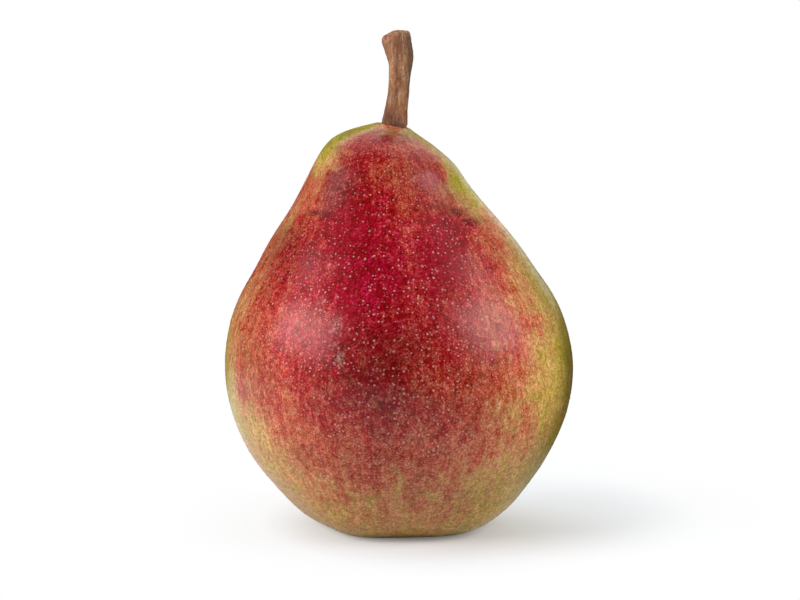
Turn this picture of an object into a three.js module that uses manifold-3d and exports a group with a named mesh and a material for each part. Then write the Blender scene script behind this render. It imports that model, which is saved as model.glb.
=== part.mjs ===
// A ripe pear standing on its foot: one grown fruit, its woody stem and the dried calyx underneath.
// Millimetres, +Z up. The origin is on the surface that the pear stands on, under the middle of its
// bounding box. The front of the fruit faces -Y, and +X is to the right of it.

import * as THREE from "three";
import { mergeVertices } from "three/addons/utils/BufferGeometryUtils.js";
import Module from "manifold-3d";

const wasm = await Module();
wasm.setup();

// ---------------------------------------------------------------- driving dimensions

const GAP = 0.3; // clear space between a seated piece and the flesh round it

const FOOT_INNER = 9; // the flat ring that the fruit stands on
const FOOT_OUTER = 13.5;

const STEM_ROOT_RADIUS = 2.6;
const PIT_DEPTH = 5.5; // how far the hole for the stem's root goes in from its rim

const CALYX_RADIUS = 2.6;
const SOCKET_MOUTH = 5; // height of the calyx socket's mouth above the surface
const SOCKET_DEPTH = 3;

const FRUIT_SIDES = 64;
const FRUIT_ROWS = 44; // from the foot to the rim of the stem pit
const BASIN_ROWS = 5;
const DEPTH_RATIO = 0.97; // front to back, as a share of the width

// Rings from the foot to the rim of the stem pit: height of the ring's middle, radius,
// drift of its middle towards +X, and tilt in degrees, the +X side down.
const GIRTHS = [
  [0, FOOT_OUTER, 0.3, 0],
  [0.3, 16.2, 0.4, 0],
  [3.6, 22.2, 0.9, 0],
  [9, 26.9, 0.4, 0],
  [17, 32.35, -0.2, 0],
  [26, 36.0, -0.25, 0],
  [35, 37.15, -0.35, 0],
  [44, 35.8, -0.6, 0],
  [50, 33.35, -0.75, 0],
  [56, 29.5, -1.1, 0],
  [62, 25.65, -1.65, 0.2],
  [68, 21.2, -2.15, 0.7],
  [74, 17.3, -2.75, 1.8],
  [79, 14.5, -2.7, 4.3],
  [81.8, 12.05, -2.95, 6.5],
  [83.8, 9.1, -2.55, 8],
  [85.1, 6.1, -1.9, 9.5],
  [86.5, STEM_ROOT_RADIUS + GAP, -1.1, 11],
];

// The calyx basin, from the socket's mouth out to the foot: height and radius.
const BASIN = [
  [SOCKET_MOUTH, CALYX_RADIUS + GAP],
  [4.4, 4.4],
  [2.6, 6.4],
  [0.8, 8.0],
  [0, FOOT_INNER],
];

// Lobes of the fruit's cross-section: how many, how deep as a share of the radius, the bearing
// of the first in degrees from +X towards +Y, and the height where they have faded to half.
const LOBES = [
  [2, 0.006, 20, 200],
  [3, 0.008, 250, 200],
  [5, 0.05, 24, 7],
];

// Soft swellings and dents in the fruit: bearing in degrees from +X towards +Y, height, spread
// and rise.
const SWELLINGS = [
  [-14, 64, 6, 0.9],
  [-45, 71, 4.5, -0.5],
  [172, 60, 7, 0.3],
];

// The stem's middle line above the rim of the pit.
const STEM_LINE = [
  [-0.35, -0.1, 91.7],
  [0.05, -0.1, 96.5],
  [0.2, 0, 100],
  [-0.3, 0, 103.4],
  [-0.9, -0.2, 106.5],
];

// The stem's outline: distance along the line from the rim of the pit, and radius.
const STEM_GIRTHS = [
  [0.4, 2.8],
  [2.2, 2.5],
  [5, 2.34],
  [7.6, 2.25],
  [10.5, 2.28],
  [13, 2.52],
  [14.6, 2.75],
  [16.5, 2.85],
  [18.2, 2.85],
  [19.2, 2.6],
  [19.6, 1.9],
];
const STEM_SIDES = 20;
const STEM_ROWS = 28;
const STEM_RIBS = [5, 0.035, 30]; // how many, depth as a share of the radius, bearing of the first
const STEM_ROUND = 4; // above the rim, the length over which the ribs and knots come in

// Swellings of the stem: bearing, distance along the line from the pit's rim, spread and rise.
const STEM_KNOTS = [
  [0, 14.1, 1.4, 0.28],
  [180, 17, 1.3, 0.28],
  [185, 18.8, 1.0, 0.4],
  [0, 19, 0.9, 0.25],
];

// The dried calyx: a dished cup with sepals that curl down out of it round a ring of withered
// stamens. Lines are [distance out from the middle, height], from root to tip.
const CUP = [
  [0, 5.2],
  [1.5, 4.7],
  [2.1, 4.2],
  [2.5, 4.4],
  [CALYX_RADIUS, 4.9],
  [CALYX_RADIUS, SOCKET_MOUTH + SOCKET_DEPTH - GAP],
  [0, SOCKET_MOUTH + SOCKET_DEPTH - GAP],
];
const CUP_SIDES = 30;
const SEPALS = {
  count: 5,
  first: 18,
  widths: [2.4, 1.9, 0.7],
  thicknesses: [0.9, 0.7, 0.7],
  sides: 8,
  steps: 6,
};
const SEPAL_LINE = [
  [1.9, 5.0],
  [2.7, 3.9],
  [3.6, 2.9],
  [3.9, 2.0],
];
const STAMENS = {
  count: 9,
  first: 0,
  widths: [0.7, 0.7, 0.7],
  thicknesses: [0.7, 0.7, 0.7],
  sides: 5,
  steps: 2,
};
const STAMEN_LINE = [
  [0.8, 5.2],
  [1.1, 4.0],
  [1.3, 3.2],
];

// ---------------------------------------------------------------- helpers

const radians = THREE.MathUtils.degToRad;

// A profile of [radius, height] pairs turned round +Z.
function turned(profile, sides) {
  const points = profile.map(([r, h]) => new THREE.Vector2(r, h));
  return new THREE.LatheGeometry(points, sides).rotateX(Math.PI / 2);
}

// Moves every vertex of a geometry in place. place(point, index) changes the point it is given.
function reshaped(geometry, place) {
  const position = geometry.attributes.position;
  const point = new THREE.Vector3();
  for (let i = 0; i < position.count; i++) {
    point.fromBufferAttribute(position, i);
    place(point, i);
    position.setXYZ(i, point.x, point.y, point.z);
  }
  return geometry;
}

// How far a surface of the given radius swells out at a bearing and a height along its axis.
function swellingAt(swellings, bearing, height, radius) {
  return swellings.reduce((sum, [at, level, spread, rise]) => {
    const turn = Math.atan2(Math.sin(bearing - radians(at)), Math.cos(bearing - radians(at)));
    const away = Math.hypot(turn * radius, height - level) / spread;
    return sum + rise * Math.exp(-0.5 * away * away);
  }, 0);
}

// A closed geometry as a manifold-3d solid.
function solidOf(geometry) {
  const bare = geometry.clone();
  bare.deleteAttribute("normal");
  bare.deleteAttribute("uv");
  const merged = mergeVertices(bare, 1e-4);
  return new wasm.Manifold(
    new wasm.Mesh({
      numProp: 3,
      vertProperties: merged.attributes.position.array,
      triVerts: new Uint32Array(merged.index.array),
    }),
  );
}

// A manifold-3d solid as a geometry.
function geometryOf(solid) {
  const { vertProperties, triVerts } = solid.getMesh();
  const geometry = new THREE.BufferGeometry();
  geometry.setAttribute("position", new THREE.BufferAttribute(vertProperties, 3));
  geometry.setIndex(new THREE.BufferAttribute(triVerts, 1));
  geometry.computeVertexNormals();
  return geometry;
}

function piece(name, geometry, color, roughness) {
  const material = new THREE.MeshStandardMaterial({ color, roughness, metalness: 0 });
  const mesh = new THREE.Mesh(geometry, material);
  mesh.name = name;
  return mesh;
}

// ---------------------------------------------------------------- the fruit

const [RIM_HEIGHT, RIM_RADIUS, RIM_DRIFT, RIM_TILT] = GIRTHS.at(-1);

// The middle of the stem pit at a depth below its rim.
function pitMiddle(depth) {
  return new THREE.Vector3(
    RIM_DRIFT - depth * Math.sin(radians(RIM_TILT)),
    0,
    RIM_HEIGHT - depth * Math.cos(radians(RIM_TILT)),
  );
}

// Rows of the fruit's surface from the ceiling of the calyx socket, out over the foot, up the
// side and down into the stem pit. shaped says how far a row follows the lobes and swellings.
function fruitRows() {
  const curve = (points) => new THREE.CatmullRomCurve3(points);
  const basin = curve(BASIN.map(([height, radius]) => new THREE.Vector3(radius, height, 0)));
  const side = curve(GIRTHS.map(([height, radius]) => new THREE.Vector3(radius, height, 0)));
  const lean = curve(GIRTHS.map(([, , drift, tilt]) => new THREE.Vector3(drift, tilt, 0)));

  const socket = { height: SOCKET_MOUTH + SOCKET_DEPTH, drift: 0, tilt: 0, shaped: 0 };
  const rows = [
    { ...socket, radius: 0 },
    { ...socket, radius: CALYX_RADIUS + GAP },
  ];
  for (let i = 0; i <= BASIN_ROWS; i++) {
    const { x: radius, y: height } = basin.getPointAt(i / BASIN_ROWS);
    rows.push({ radius, height, drift: 0, tilt: 0, shaped: i / BASIN_ROWS });
  }
  for (let i = 0; i <= FRUIT_ROWS; i++) {
    const t = side.getUtoTmapping(i / FRUIT_ROWS);
    const { x: radius, y: height } = side.getPoint(t);
    const { x: drift, y: tilt } = lean.getPoint(t);
    const shaped = THREE.MathUtils.smoothstep(radius, RIM_RADIUS, FOOT_OUTER);
    rows.push({ radius, height, drift, tilt, shaped });
  }
  const floor = pitMiddle(PIT_DEPTH);
  const pit = { height: floor.z, drift: floor.x, tilt: RIM_TILT, shaped: 0 };
  rows.push({ ...pit, radius: RIM_RADIUS }, { ...pit, radius: 0 });
  return rows;
}

function lobesAt(bearing, height) {
  return LOBES.reduce((sum, [count, depth, first, half]) => {
    const faded = depth * 0.5 ** ((height / half) ** 2);
    return sum + faded * Math.cos(count * (bearing - radians(first)));
  }, 0);
}

function fruit() {
  const rows = fruitRows();
  const skin = turned(
    rows.map(({ radius, height }) => [radius, height]),
    FRUIT_SIDES,
  );
  reshaped(skin, (point, i) => {
    const { radius, height, drift, tilt, shaped } = rows[i % rows.length];
    const bearing = Math.atan2(point.y, point.x);
    const swell =
      radius * lobesAt(bearing, height) + swellingAt(SWELLINGS, bearing, height, radius);
    const reach = radius > 0 ? radius + shaped * swell : 0;
    const across = reach * Math.cos(bearing);
    const depth = reach * Math.sin(bearing) * THREE.MathUtils.lerp(1, DEPTH_RATIO, shaped);
    point.set(
      drift + across * Math.cos(radians(tilt)),
      depth,
      height - across * Math.sin(radians(tilt)),
    );
  });
  return piece("fruit", skin, 0xa83a3c, 0.42);
}

// ---------------------------------------------------------------- the stem

function stem() {
  const root = pitMiddle(PIT_DEPTH - GAP);
  const rim = pitMiddle(0);
  const line = new THREE.CatmullRomCurve3([
    root,
    rim,
    ...STEM_LINE.map((point) => new THREE.Vector3(...point)),
  ]);
  const length = line.getLength();
  const sunk = PIT_DEPTH - GAP;
  const outline = new THREE.CatmullRomCurve3(
    STEM_GIRTHS.map(([distance, radius]) => new THREE.Vector3(radius, distance, 0)),
  );
  const rows = [
    [0, -sunk],
    [STEM_ROOT_RADIUS, -sunk],
    [STEM_ROOT_RADIUS, -GAP],
  ];
  for (let i = 0; i <= STEM_ROWS; i++) {
    const { x: radius, y: distance } = outline.getPointAt(i / STEM_ROWS);
    rows.push([radius, distance]);
  }
  rows.push([0, length - sunk]);

  const [ribs, ribDepth, ribBearing] = STEM_RIBS;
  const wood = reshaped(turned(rows, STEM_SIDES), (point, i) => {
    const [radius, distance] = rows[i % rows.length];
    const bearing = Math.atan2(point.y, point.x);
    const free = THREE.MathUtils.smoothstep(distance, 0, STEM_ROUND);
    const rib = radius * ribDepth * Math.cos(ribs * (bearing - radians(ribBearing)));
    const swell = rib + swellingAt(STEM_KNOTS, bearing, distance, radius);
    const reach = radius > 0 ? radius + free * swell : 0;
    const share = (distance + sunk) / length;
    const along = line.getTangentAt(share);
    const across = new THREE.Vector3(0, 1, 0).cross(along).normalize();
    const back = along.clone().cross(across);
    point
      .copy(line.getPointAt(share))
      .addScaledVector(across, reach * Math.cos(bearing))
      .addScaledVector(back, reach * Math.sin(bearing));
  });
  return piece("stem", wood, 0x8d6248, 0.7);
}

// ---------------------------------------------------------------- the calyx

// A closed tapering blade along a line that starts near +Z's axis and leads away from it. Its
// widths and thicknesses are full sizes at the line's root, middle and tip.
function blade(points, widths, thicknesses, sides, steps) {
  const line = new THREE.CatmullRomCurve3(points);
  const rows = [[0, 0]];
  for (let i = 0; i <= steps; i++) rows.push([1, i / steps]);
  rows.push([0, 1]);
  const between = ([root, middle, tip], share) =>
    share < 0.5
      ? THREE.MathUtils.lerp(root, middle, share * 2)
      : THREE.MathUtils.lerp(middle, tip, share * 2 - 1);
  return reshaped(turned(rows, sides), (point, i) => {
    const [reach, share] = rows[i % rows.length];
    const bearing = Math.atan2(point.y, point.x);
    const along = line.getTangentAt(share);
    const middle = line.getPointAt(share);
    const outward = new THREE.Vector3(middle.x, middle.y, 0).normalize();
    const wide = along.clone().cross(outward).normalize();
    const thick = along.clone().cross(wide);
    point
      .copy(middle)
      .addScaledVector(wide, (reach * Math.cos(bearing) * between(widths, share)) / 2)
      .addScaledVector(thick, (reach * Math.sin(bearing) * between(thicknesses, share)) / 2);
  });
}

// The blades of one whorl, evenly spaced round the axis: first is the bearing of the first one.
function whorl({ count, first, widths, thicknesses, sides, steps }, outline) {
  const upright = new THREE.Vector3(0, 0, 1);
  return Array.from({ length: count }, (_, i) => {
    const bearing = radians(first + (360 / count) * i);
    const points = outline.map(([out, height]) =>
      new THREE.Vector3(out, 0, height).applyAxisAngle(upright, bearing),
    );
    return solidOf(blade(points, widths, thicknesses, sides, steps));
  });
}

function calyx() {
  const parts = [...whorl(SEPALS, SEPAL_LINE), ...whorl(STAMENS, STAMEN_LINE)];
  const whole = parts.reduce((sum, part) => sum.add(part), solidOf(turned(CUP, CUP_SIDES)));
  return piece("calyx", geometryOf(whole), 0x4a3626, 0.85);
}

// ---------------------------------------------------------------- assembly

const pear = new THREE.Group();
pear.add(fruit(), stem(), calyx());

export default pear;
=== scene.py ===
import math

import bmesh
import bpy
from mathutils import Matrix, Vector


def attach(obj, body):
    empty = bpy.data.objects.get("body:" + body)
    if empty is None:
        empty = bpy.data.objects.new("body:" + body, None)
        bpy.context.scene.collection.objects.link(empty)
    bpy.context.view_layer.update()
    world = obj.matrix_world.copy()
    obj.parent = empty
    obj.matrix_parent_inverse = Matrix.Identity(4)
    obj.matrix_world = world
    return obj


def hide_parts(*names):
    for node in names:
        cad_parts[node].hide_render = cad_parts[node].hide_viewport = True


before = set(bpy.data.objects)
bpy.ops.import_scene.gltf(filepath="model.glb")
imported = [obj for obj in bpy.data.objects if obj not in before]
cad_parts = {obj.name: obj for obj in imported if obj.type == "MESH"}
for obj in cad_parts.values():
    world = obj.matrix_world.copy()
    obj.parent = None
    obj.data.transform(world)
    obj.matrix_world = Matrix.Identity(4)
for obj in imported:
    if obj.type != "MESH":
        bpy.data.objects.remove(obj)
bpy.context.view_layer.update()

# A ripe red-blushed pear standing on a pale studio floor: waxy skin with raised lenticels, a woody
# stem and the dried calyx underneath. Lengths are in metres, as the frame's are, unless a name or
# a comment says millimetres. The blushed front faces -Y, and bearings run from it to the right.

MM = 0.001
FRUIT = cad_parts["fruit"]
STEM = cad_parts["stem"]

WELD = 0.002 * MM  # corners closer than this are one
QUAD_FOLD = math.radians(60)  # two triangles pair up if they fold no more than this,
QUAD_SKEW = math.radians(80)  # and if their quad's corners are no further from square

# The kinds of node used most.
RANGE = "ShaderNodeMapRange"
NOISE = "ShaderNodeTexNoise"
RAMP = "ShaderNodeValToRGB"
CURVE = "ShaderNodeFloatCurve"
SPLIT = "ShaderNodeSeparateXYZ"
BUILD = "ShaderNodeCombineXYZ"
PLACE = "GeometryNodeInputPosition"
SHIFT = "GeometryNodeSetPosition"


# ---------------- small helpers

def linear(hex_colour):
    """An sRGB hex colour as the linear RGBA that nodes take."""
    channels = [int(hex_colour[i : i + 2], 16) / 255 for i in (1, 3, 5)]
    return [c / 12.92 if c <= 0.04045 else ((c + 0.055) / 1.055) ** 2.4 for c in channels] + [1]


def add(tree, kind, inputs=(), stops=(), curve=(), **settings):
    """Adds a node, with its operation after a dot in its kind. Inputs are a list in the node's order
    or a dict by name or number, and each is a value, a socket or a node. A ramp takes (place, hex
    colour) stops and a curve (x, y) points."""
    kind, _, operation = kind.partition(".")
    node = tree.nodes.new(kind)
    if operation:
        node.operation = operation
    for name, value in settings.items():
        setattr(node, name, value)
    for key, value in inputs.items() if isinstance(inputs, dict) else enumerate(inputs):
        if isinstance(value, bpy.types.Node):
            value = next(socket for socket in value.outputs if socket.enabled)
        if isinstance(value, bpy.types.NodeSocket):
            tree.links.new(value, node.inputs[key])
        else:
            node.inputs[key].default_value = value
    for i, (place, colour) in enumerate(stops):
        element = node.color_ramp.elements[i] if i < 2 else node.color_ramp.elements.new(place)
        element.position = place
        element.color = linear(colour)
    if curve:
        node.mapping.use_clip = False
        points = node.mapping.curves[0].points
        for i, place in enumerate(curve):
            if i < 2:
                points[i].location = place
            else:
                points.new(*place)
        node.mapping.update()
    return node


def new_material(name):
    """A material with an empty tree, as (material, tree)."""
    material = bpy.data.materials.new(name)
    material.use_nodes = True
    material.node_tree.nodes.clear()
    return material, material.node_tree


def in_millimetres(tree):
    """The place on the object, in millimetres."""
    place = add(tree, "ShaderNodeTexCoord").outputs["Object"]
    return add(tree, "ShaderNodeVectorMath.SCALE", {0: place, "Scale": 1 / MM})


def coated(tree, colour, coats):
    """A colour under coats laid on in turn, each a share, a colour and the way it is laid on."""
    for share, tint, way in coats:
        coat = {0: share, 6: colour, 7: linear(tint) if isinstance(tint, str) else tint}
        colour = add(tree, "ShaderNodeMix", coat, data_type="RGBA", blend_type=way).outputs[2]
    return colour


def drift(tree, noise, reach):
    """A push to any side, as a vector: a noise of colours, centred on nothing and scaled."""
    sides = add(tree, NOISE, noise).outputs["Color"]
    even = add(tree, "ShaderNodeVectorMath.SUBTRACT", [sides, (0.5, 0.5, 0.5)])
    return add(tree, "ShaderNodeVectorMath.SCALE", {0: even, "Scale": reach})


def cage_of(node, name):
    """A copy of a CAD node with its corners welded and its triangles paired back into quads."""
    mesh = node.data.copy()
    shape = bmesh.new()
    shape.from_mesh(mesh)
    bmesh.ops.remove_doubles(shape, verts=shape.verts, dist=WELD)
    limits = {"angle_face_threshold": QUAD_FOLD, "angle_shape_threshold": QUAD_SKEW}
    bmesh.ops.join_triangles(shape, faces=shape.faces, **limits)
    shape.to_mesh(mesh)
    shape.free()
    mesh.materials.clear()
    cage = bpy.data.objects.new(name, mesh)
    bpy.context.scene.collection.objects.link(cage)
    return cage


def bare(name):
    """An object with an empty mesh, for a tree that makes its own geometry."""
    empty = bpy.data.objects.new(name, bpy.data.meshes.new(name))
    bpy.context.scene.collection.objects.link(empty)
    return empty


def geometry_tree(name, sizes):
    """A geometry node tree that takes Geometry and the named sizes, as (tree, what it is given)."""
    tree = bpy.data.node_groups.new(name, "GeometryNodeTree")
    tree.interface.new_socket("Geometry", in_out="INPUT", socket_type="NodeSocketGeometry")
    for size, value in sizes.items():
        kind = "NodeSocketInt" if isinstance(value, int) else "NodeSocketFloat"
        tree.interface.new_socket(size, in_out="INPUT", socket_type=kind)
    tree.interface.new_socket("Geometry", in_out="OUTPUT", socket_type="NodeSocketGeometry")
    return tree, add(tree, "NodeGroupInput").outputs


def finish_tree(tree, geometry, material):
    """Ends a geometry tree: instances made real, smooth shading and the material."""
    real = add(tree, "GeometryNodeRealizeInstances", {"Geometry": geometry})
    smooth = add(tree, "GeometryNodeSetShadeSmooth", {"Geometry": real})
    painted = add(tree, "GeometryNodeSetMaterial", {"Geometry": smooth, "Material": material})
    add(tree, "NodeGroupOutput", {"Geometry": painted})


def grown(source, name, tree, sizes):
    """Runs a geometry tree on an object and returns its result as a plain mesh object."""
    modifier = source.modifiers.new(name, "NODES")
    modifier.node_group = tree
    for item in tree.interface.items_tree:
        if item.in_out == "INPUT" and item.name in sizes:
            modifier[item.identifier] = sizes[item.name]
    evaluated = source.evaluated_get(bpy.context.evaluated_depsgraph_get())
    mesh = bpy.data.meshes.new_from_object(evaluated)
    source.modifiers.remove(modifier)
    mesh.name = name
    piece = bpy.data.objects.new(name, mesh)
    bpy.context.scene.collection.objects.link(piece)
    return piece


def deliver(piece, node):
    """Puts a finished piece on the one body and hides the CAD node it stands for."""
    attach(piece, "root")
    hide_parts(node)


# ---------------- the skin's colours

# The colour of the skin by its blush: 1 is full crimson, 0 the ochre ground, less than 0 the green
# of the side that had no sun.
LEAST_BLUSH, MOST_BLUSH = -0.3, 1.1
SKIN_COLOURS = [
    (-0.30, "#a3952a"), (-0.15, "#ab9834"), (0.00, "#bb964e"), (0.12, "#c29055"), (0.25, "#c07e52"),
    (0.40, "#bb6241"), (0.55, "#b54f38"), (0.70, "#ae3a2a"), (0.85, "#a51c1c"), (1.05, "#980010"),
]

# Blush round the fruit, as (bearing in degrees, blush): strongest just left of the front.
BLUSH_ROUND = [
    (-180, 0.02), (-130, 0.10), (-95, 0.26), (-65, 0.44), (-48, 0.57), (-36, 0.74), (-24, 0.93),
    (-12, 0.95), (5, 0.84), (22, 0.72), (38, 0.52), (52, 0.32), (64, 0.10), (80, -0.12),
    (100, -0.20), (140, -0.08), (180, 0.02),
]

# The share of that blush by height in millimetres: it fades towards the foot.
BLUSH_UP = [(0, 0.04), (4, 0.14), (12, 0.38), (22, 0.68), (34, 0.95), (46, 1.0), (90, 1.0)]

# Places where the blush is stronger or weaker: centre and radii in millimetres, change of blush.
BLUSH_MARKS = [
    ("crimson streak, upper", (-9.8, -19, 68), (5, 9, 11), 0.55),
    ("crimson streak, lower", (-7.5, -30, 53), (7, 10, 13), 0.26),
    ("rose band", (2, -18, 74), (6, 9, 9), -0.12),
    ("crimson right patch", (10, -21, 61.5), (6, 9, 8), 0.44),
    ("red right shoulder", (21, -15, 60), (9, 10, 9), 0.2),
    ("crimson right heart", (12, -31, 47), (8, 9, 7), 0.16),
    ("crimson middle", (6, -28, 56), (5, 8, 6), 0.16),
    ("crimson right, lower", (17, -24, 55), (7, 9, 9), 0.22),
    ("crimson under the fold", (11, -18, 63), (4, 7, 4), 0.34),
    ("red left of the neck", (-12.5, -11, 76.5), (3.8, 7, 4), 0.28),
    ("maroon heart", (-4.5, -36, 37), (7, 9, 12), 0.3),
    ("red upper left", (-22, -18, 57.5), (10, 13, 11), 0.28),
    ("red left flank", (-30, -21, 37), (4, 9, 8), 0.16),
    ("crimson below the streak", (-8, -34, 42), (7, 9, 10), 0.22),
    ("red neck, right", (5.8, -12.5, 75.5), (4.5, 7, 5), 0.28),
    ("paler right of the middle", (20, -29, 32), (6, 9, 8), -0.11),
    ("redder lower right", (17, -29, 23.5), (5, 9, 7), 0.07),
    ("redder right flank", (27, -22, 43), (5, 9, 7), 0.08),
    ("paler lower left", (-17, -26, 13), (7, 9, 7), -0.08),
    ("tan left edge", (-37.5, -4, 34), (5, 14, 17), -0.4),
    ("green back of the neck", (0, 14, 80), (17, 14, 13), -0.2),
    ("ochre left side", (-36, 10, 34), (9, 14, 18), -0.16),
    ("lime left neck", (-15.6, -5, 81.5), (5.5, 10, 6.5), -0.55),
    ("lime left neck, inner", (-12.5, -9, 82.5), (3.5, 6, 3), -0.16),
    ("red left neck edge", (-18, -6, 75), (4, 7, 4), 0.08),
    ("red left of the fold", (-15.5, -14, 68.5), (4, 7, 4), 0.2),
    ("lime lower left rim", (-35, -6, 25), (5, 10, 9), -0.14),
    ("green lower right rim", (33, -4, 19), (6, 9, 6), -0.14),
    ("red right shoulder, lower", (26.4, -19, 48), (4, 7, 4.5), 0.14),
    ("red middle right", (18, -29, 41), (5, 8, 4.5), 0.15),
    ("orange under the right fold", (15, -15, 62.8), (3.5, 6, 2.8), -0.2),
    ("lime right neck", (12.5, -6, 75.5), (4.5, 9, 5), -0.34),
    ("red under the right fold", (11, -17, 65.8), (6, 7, 4), 0.55),
    ("ochre left foot", (-30, -16, 22), (11, 16, 14), -0.2),
    ("green right foot", (24, -14, 12), (12, 14, 12), -0.12),
    ("ochre streak, far left", (-21.3, -18, 11), (1.8, 5, 5), -0.15),
    ("ochre streak, left", (-13, -21, 6.6), (2.6, 5, 3), -0.1),
    ("ochre streak, inner left", (-8.5, -26, 10), (1.5, 5, 4), -0.17),
    ("ochre streak, middle left", (-5, -26, 9.5), (1.2, 5, 4), -0.18),
    ("ochre streak, middle", (0, -30, 15), (1.3, 5, 6), -0.2),
    ("ochre streak, right", (7.6, -27, 12), (2.2, 5, 5), -0.18),
    ("ochre streak, far right", (15, -25, 14), (4, 5, 5), -0.18),
    ("ochre right band", (30, -19, 34), (7, 12, 13), -0.22),
    ("lime top left", (-9.5, -3, 85), (7, 7, 3.2), -0.62),
    # The pale lip is partly a painted highlight along the lip's crest.
    ("pale lip", (-5, -3, 87), (6, 6, 2), -0.5),
    ("tan lip", (1, -3, 87), (5, 4, 1.6), -0.4),
    ("tan right shoulder edge", (19, -8, 65.5), (6.5, 9, 6.5), 0.4),
    ("brown lip before the stem", (1, -5, 86), (5, 4, 2.4), -0.26),
    ("duller neck", (-2, -11, 79), (9, 9, 6.5), -0.2),
    ("red right of the neck", (7, -9, 79), (5, 7, 5), 0.2),
    ("paler left", (-20, -30, 28), (8, 10, 9), -0.16),
    ("ochre right of the foot", (20, -27, 22), (6, 9, 8), -0.12),
]

# The patterns that break the blush up: size in millimetres, drawn out along the fruit or not,
# detail, roughness, and strength.
BLUSH_PATTERNS = [
    ("long streaks", 6.0, True, 3, 0.55, 0.55),
    ("short streaks", 1.5, True, 3, 0.6, 0.6),
    ("clouds", 9.0, False, 2, 0.5, 0.5),
    ("small clouds", 3.6, False, 2, 0.5, 0.4),
    ("mottle", 1.8, False, 4, 0.7, 0.7),
    ("grain", 0.5, False, 2, 0.7, 0.45),
]

# On the ground colour, where there is little blush, only a share of their strength is kept.
CALM_GROUND = {"From Min": 0, "From Max": 0.4, "To Min": 0.55, "To Max": 1}

# The patterns of light and dark, as the eye takes them: cells of the skin, and fine brushed lines.
FLECK_PATTERNS = [
    ("cells", 0.4, False, 1, 0.6, 0.62),
    ("clusters", 1.1, False, 2, 0.6, 0.42),
    ("brushed lines", 0.9, True, 3, 0.7, 0.28),
    ("patches", 3.2, False, 2, 0.5, 0.2),
]
FLECK_DEPTH = {"From Min": 0.3, "From Max": 0.85, "To Min": 0.75, "To Max": 1.05}  # by the blush
DARKEST_SEEN = (0.02, 0.0, 0.0)
DISPLAY_GAMMA = 2.2

# Painted shade: the skin is painted darker on the side turned from the lights, its right and back,
# most at the belly: how much by bearing, and the share of that by height in millimetres.
PAINTED_SHADE_ROUND = [
    (-180, 0.0), (-60, 0.0), (20, 0.0), (50, 0.0), (62, -0.03), (66, -0.12), (70, -0.30),
    (74, -0.44), (79, -0.53), (92, -0.44), (110, -0.30), (140, -0.14), (180, 0.0),
]
PAINTED_SHADE_UP = [(0, 0.1), (12, 0.14), (20, 0.3), (26, 0.65), (34, 1.0), (43, 0.75), (54, 0.2), (90, 0.0)]

# Painted light and shade, partly the skin's own tone: places where the skin is painted lighter or
# darker than its blush says. The flanks and shoulders that face the side softboxes, the neck's lime
# edges and the lip's crest are painted lighter as light and highlight; the foot, the lower right, the
# top round the stem and the creases of the folds are painted darker as shade.
SHADE_MARKS = [
    ("dull lower middle", (-6, -36, 35), (13, 12, 15), -0.2),
    ("bright left flank", (-20, -28, 47), (12, 13, 14), 0.28),
    ("duller left", (-31, -22, 35), (8, 13, 12), -0.14),
    ("maroon heart", (-4.5, -36, 37), (6, 9, 10), -0.12),
    ("darker upper left", (-25, -14, 59), (9, 12, 9), -0.18),
    ("bright lower left", (-24, -26, 26), (10, 12, 12), 0.1),
    ("bright upper middle", (3, -22, 64), (8, 10, 14), 0.09),
    ("bright right shoulder", (22, -20, 48), (12, 14, 18), 0.31),
    ("bright right flank", (27, -24, 37), (10, 14, 14), 0.2),
    ("shaded lower right", (31, -12, 18), (8, 11, 12), -0.17),
    ("dull foot", (-3, -30, 13), (24, 14, 12), -0.17),
    ("dull foot, right", (19, -23, 11), (11, 9, 9), -0.2),
    ("dull foot, lowest", (3, -22, 2.5), (24, 12, 4), -0.08),
    ("dull foot, left", (-20.5, -24, 20), (6, 8, 6), -0.17),
    ("bright lower middle", (-9.5, -35, 30), (5, 8, 7), 0.1),
    ("dull middle", (1, -35, 44), (6, 8, 6), -0.14),
    ("dull neck", (0, -11, 80), (8, 9, 7), -0.08),
    ("dull top", (-3, -6, 84.6), (9, 6, 2.6), -0.32),
    ("bright lip", (-3, -3, 86.8), (9, 5, 1.5), 0.2),
    ("bright lime, left", (-16.5, -5, 80), (3.5, 6, 5), 0.08),
    ("dull top left", (-11.5, -8, 82), (5, 6, 3.5), -0.2),
    ("dull top right", (6.5, -7, 81), (5, 6, 5), -0.1),
    ("dull right of the neck", (9.8, -10, 72), (4, 6, 4), -0.12),
    ("dull right fold", (16, -12, 69), (4, 6, 4), -0.1),
    ("bright under the right fold", (13.8, -15, 63.5), (4, 6, 3.5), 0.16),
    ("dull left neck edge", (-18, -5, 76), (4, 7, 4), -0.1),
    ("dull left of the neck", (-12.5, -14, 73.5), (5, 7, 7), -0.24),
    ("dull left shoulder", (-23.5, -10, 63), (6, 8, 6), -0.22),
    ("bright right ochre", (32, -14, 37), (5, 12, 14), 0.24),
    ("bright right flank, lower", (29, -20, 28), (8, 11, 12), 0.22),
    ("bright right foot", (18, -25, 18), (9, 10, 8), 0.12),
    ("pale foot, left", (-19, -25, 12), (6, 8, 6), 0.12),
    ("pale green flank, lower right", (32, -4, 18.5), (6, 9, 5), 0.16),
    ("bright right shoulder edge", (19, -7, 65), (6, 9, 6), 0.1),
    ("bright right of the middle", (20, -28, 34), (7, 9, 9), 0.1),
    ("bright middle", (10.5, -33, 40), (6, 8, 9), 0.16),
    ("bright lime, right", (15, -2, 72), (5, 8, 9), 0.2),
    ("right fold, inner", (7.5, -15.5, 70.4), (3.5, 4, 0.9), -0.3),
    ("right fold, middle", (11.5, -14, 69), (3.5, 4, 0.9), -0.4),
    ("right fold, outer", (15.5, -12.3, 67), (3.5, 4, 0.9), -0.35),
    ("left fold", (-17, -14, 68.8), (5, 5, 0.9), -0.35),
]

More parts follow.
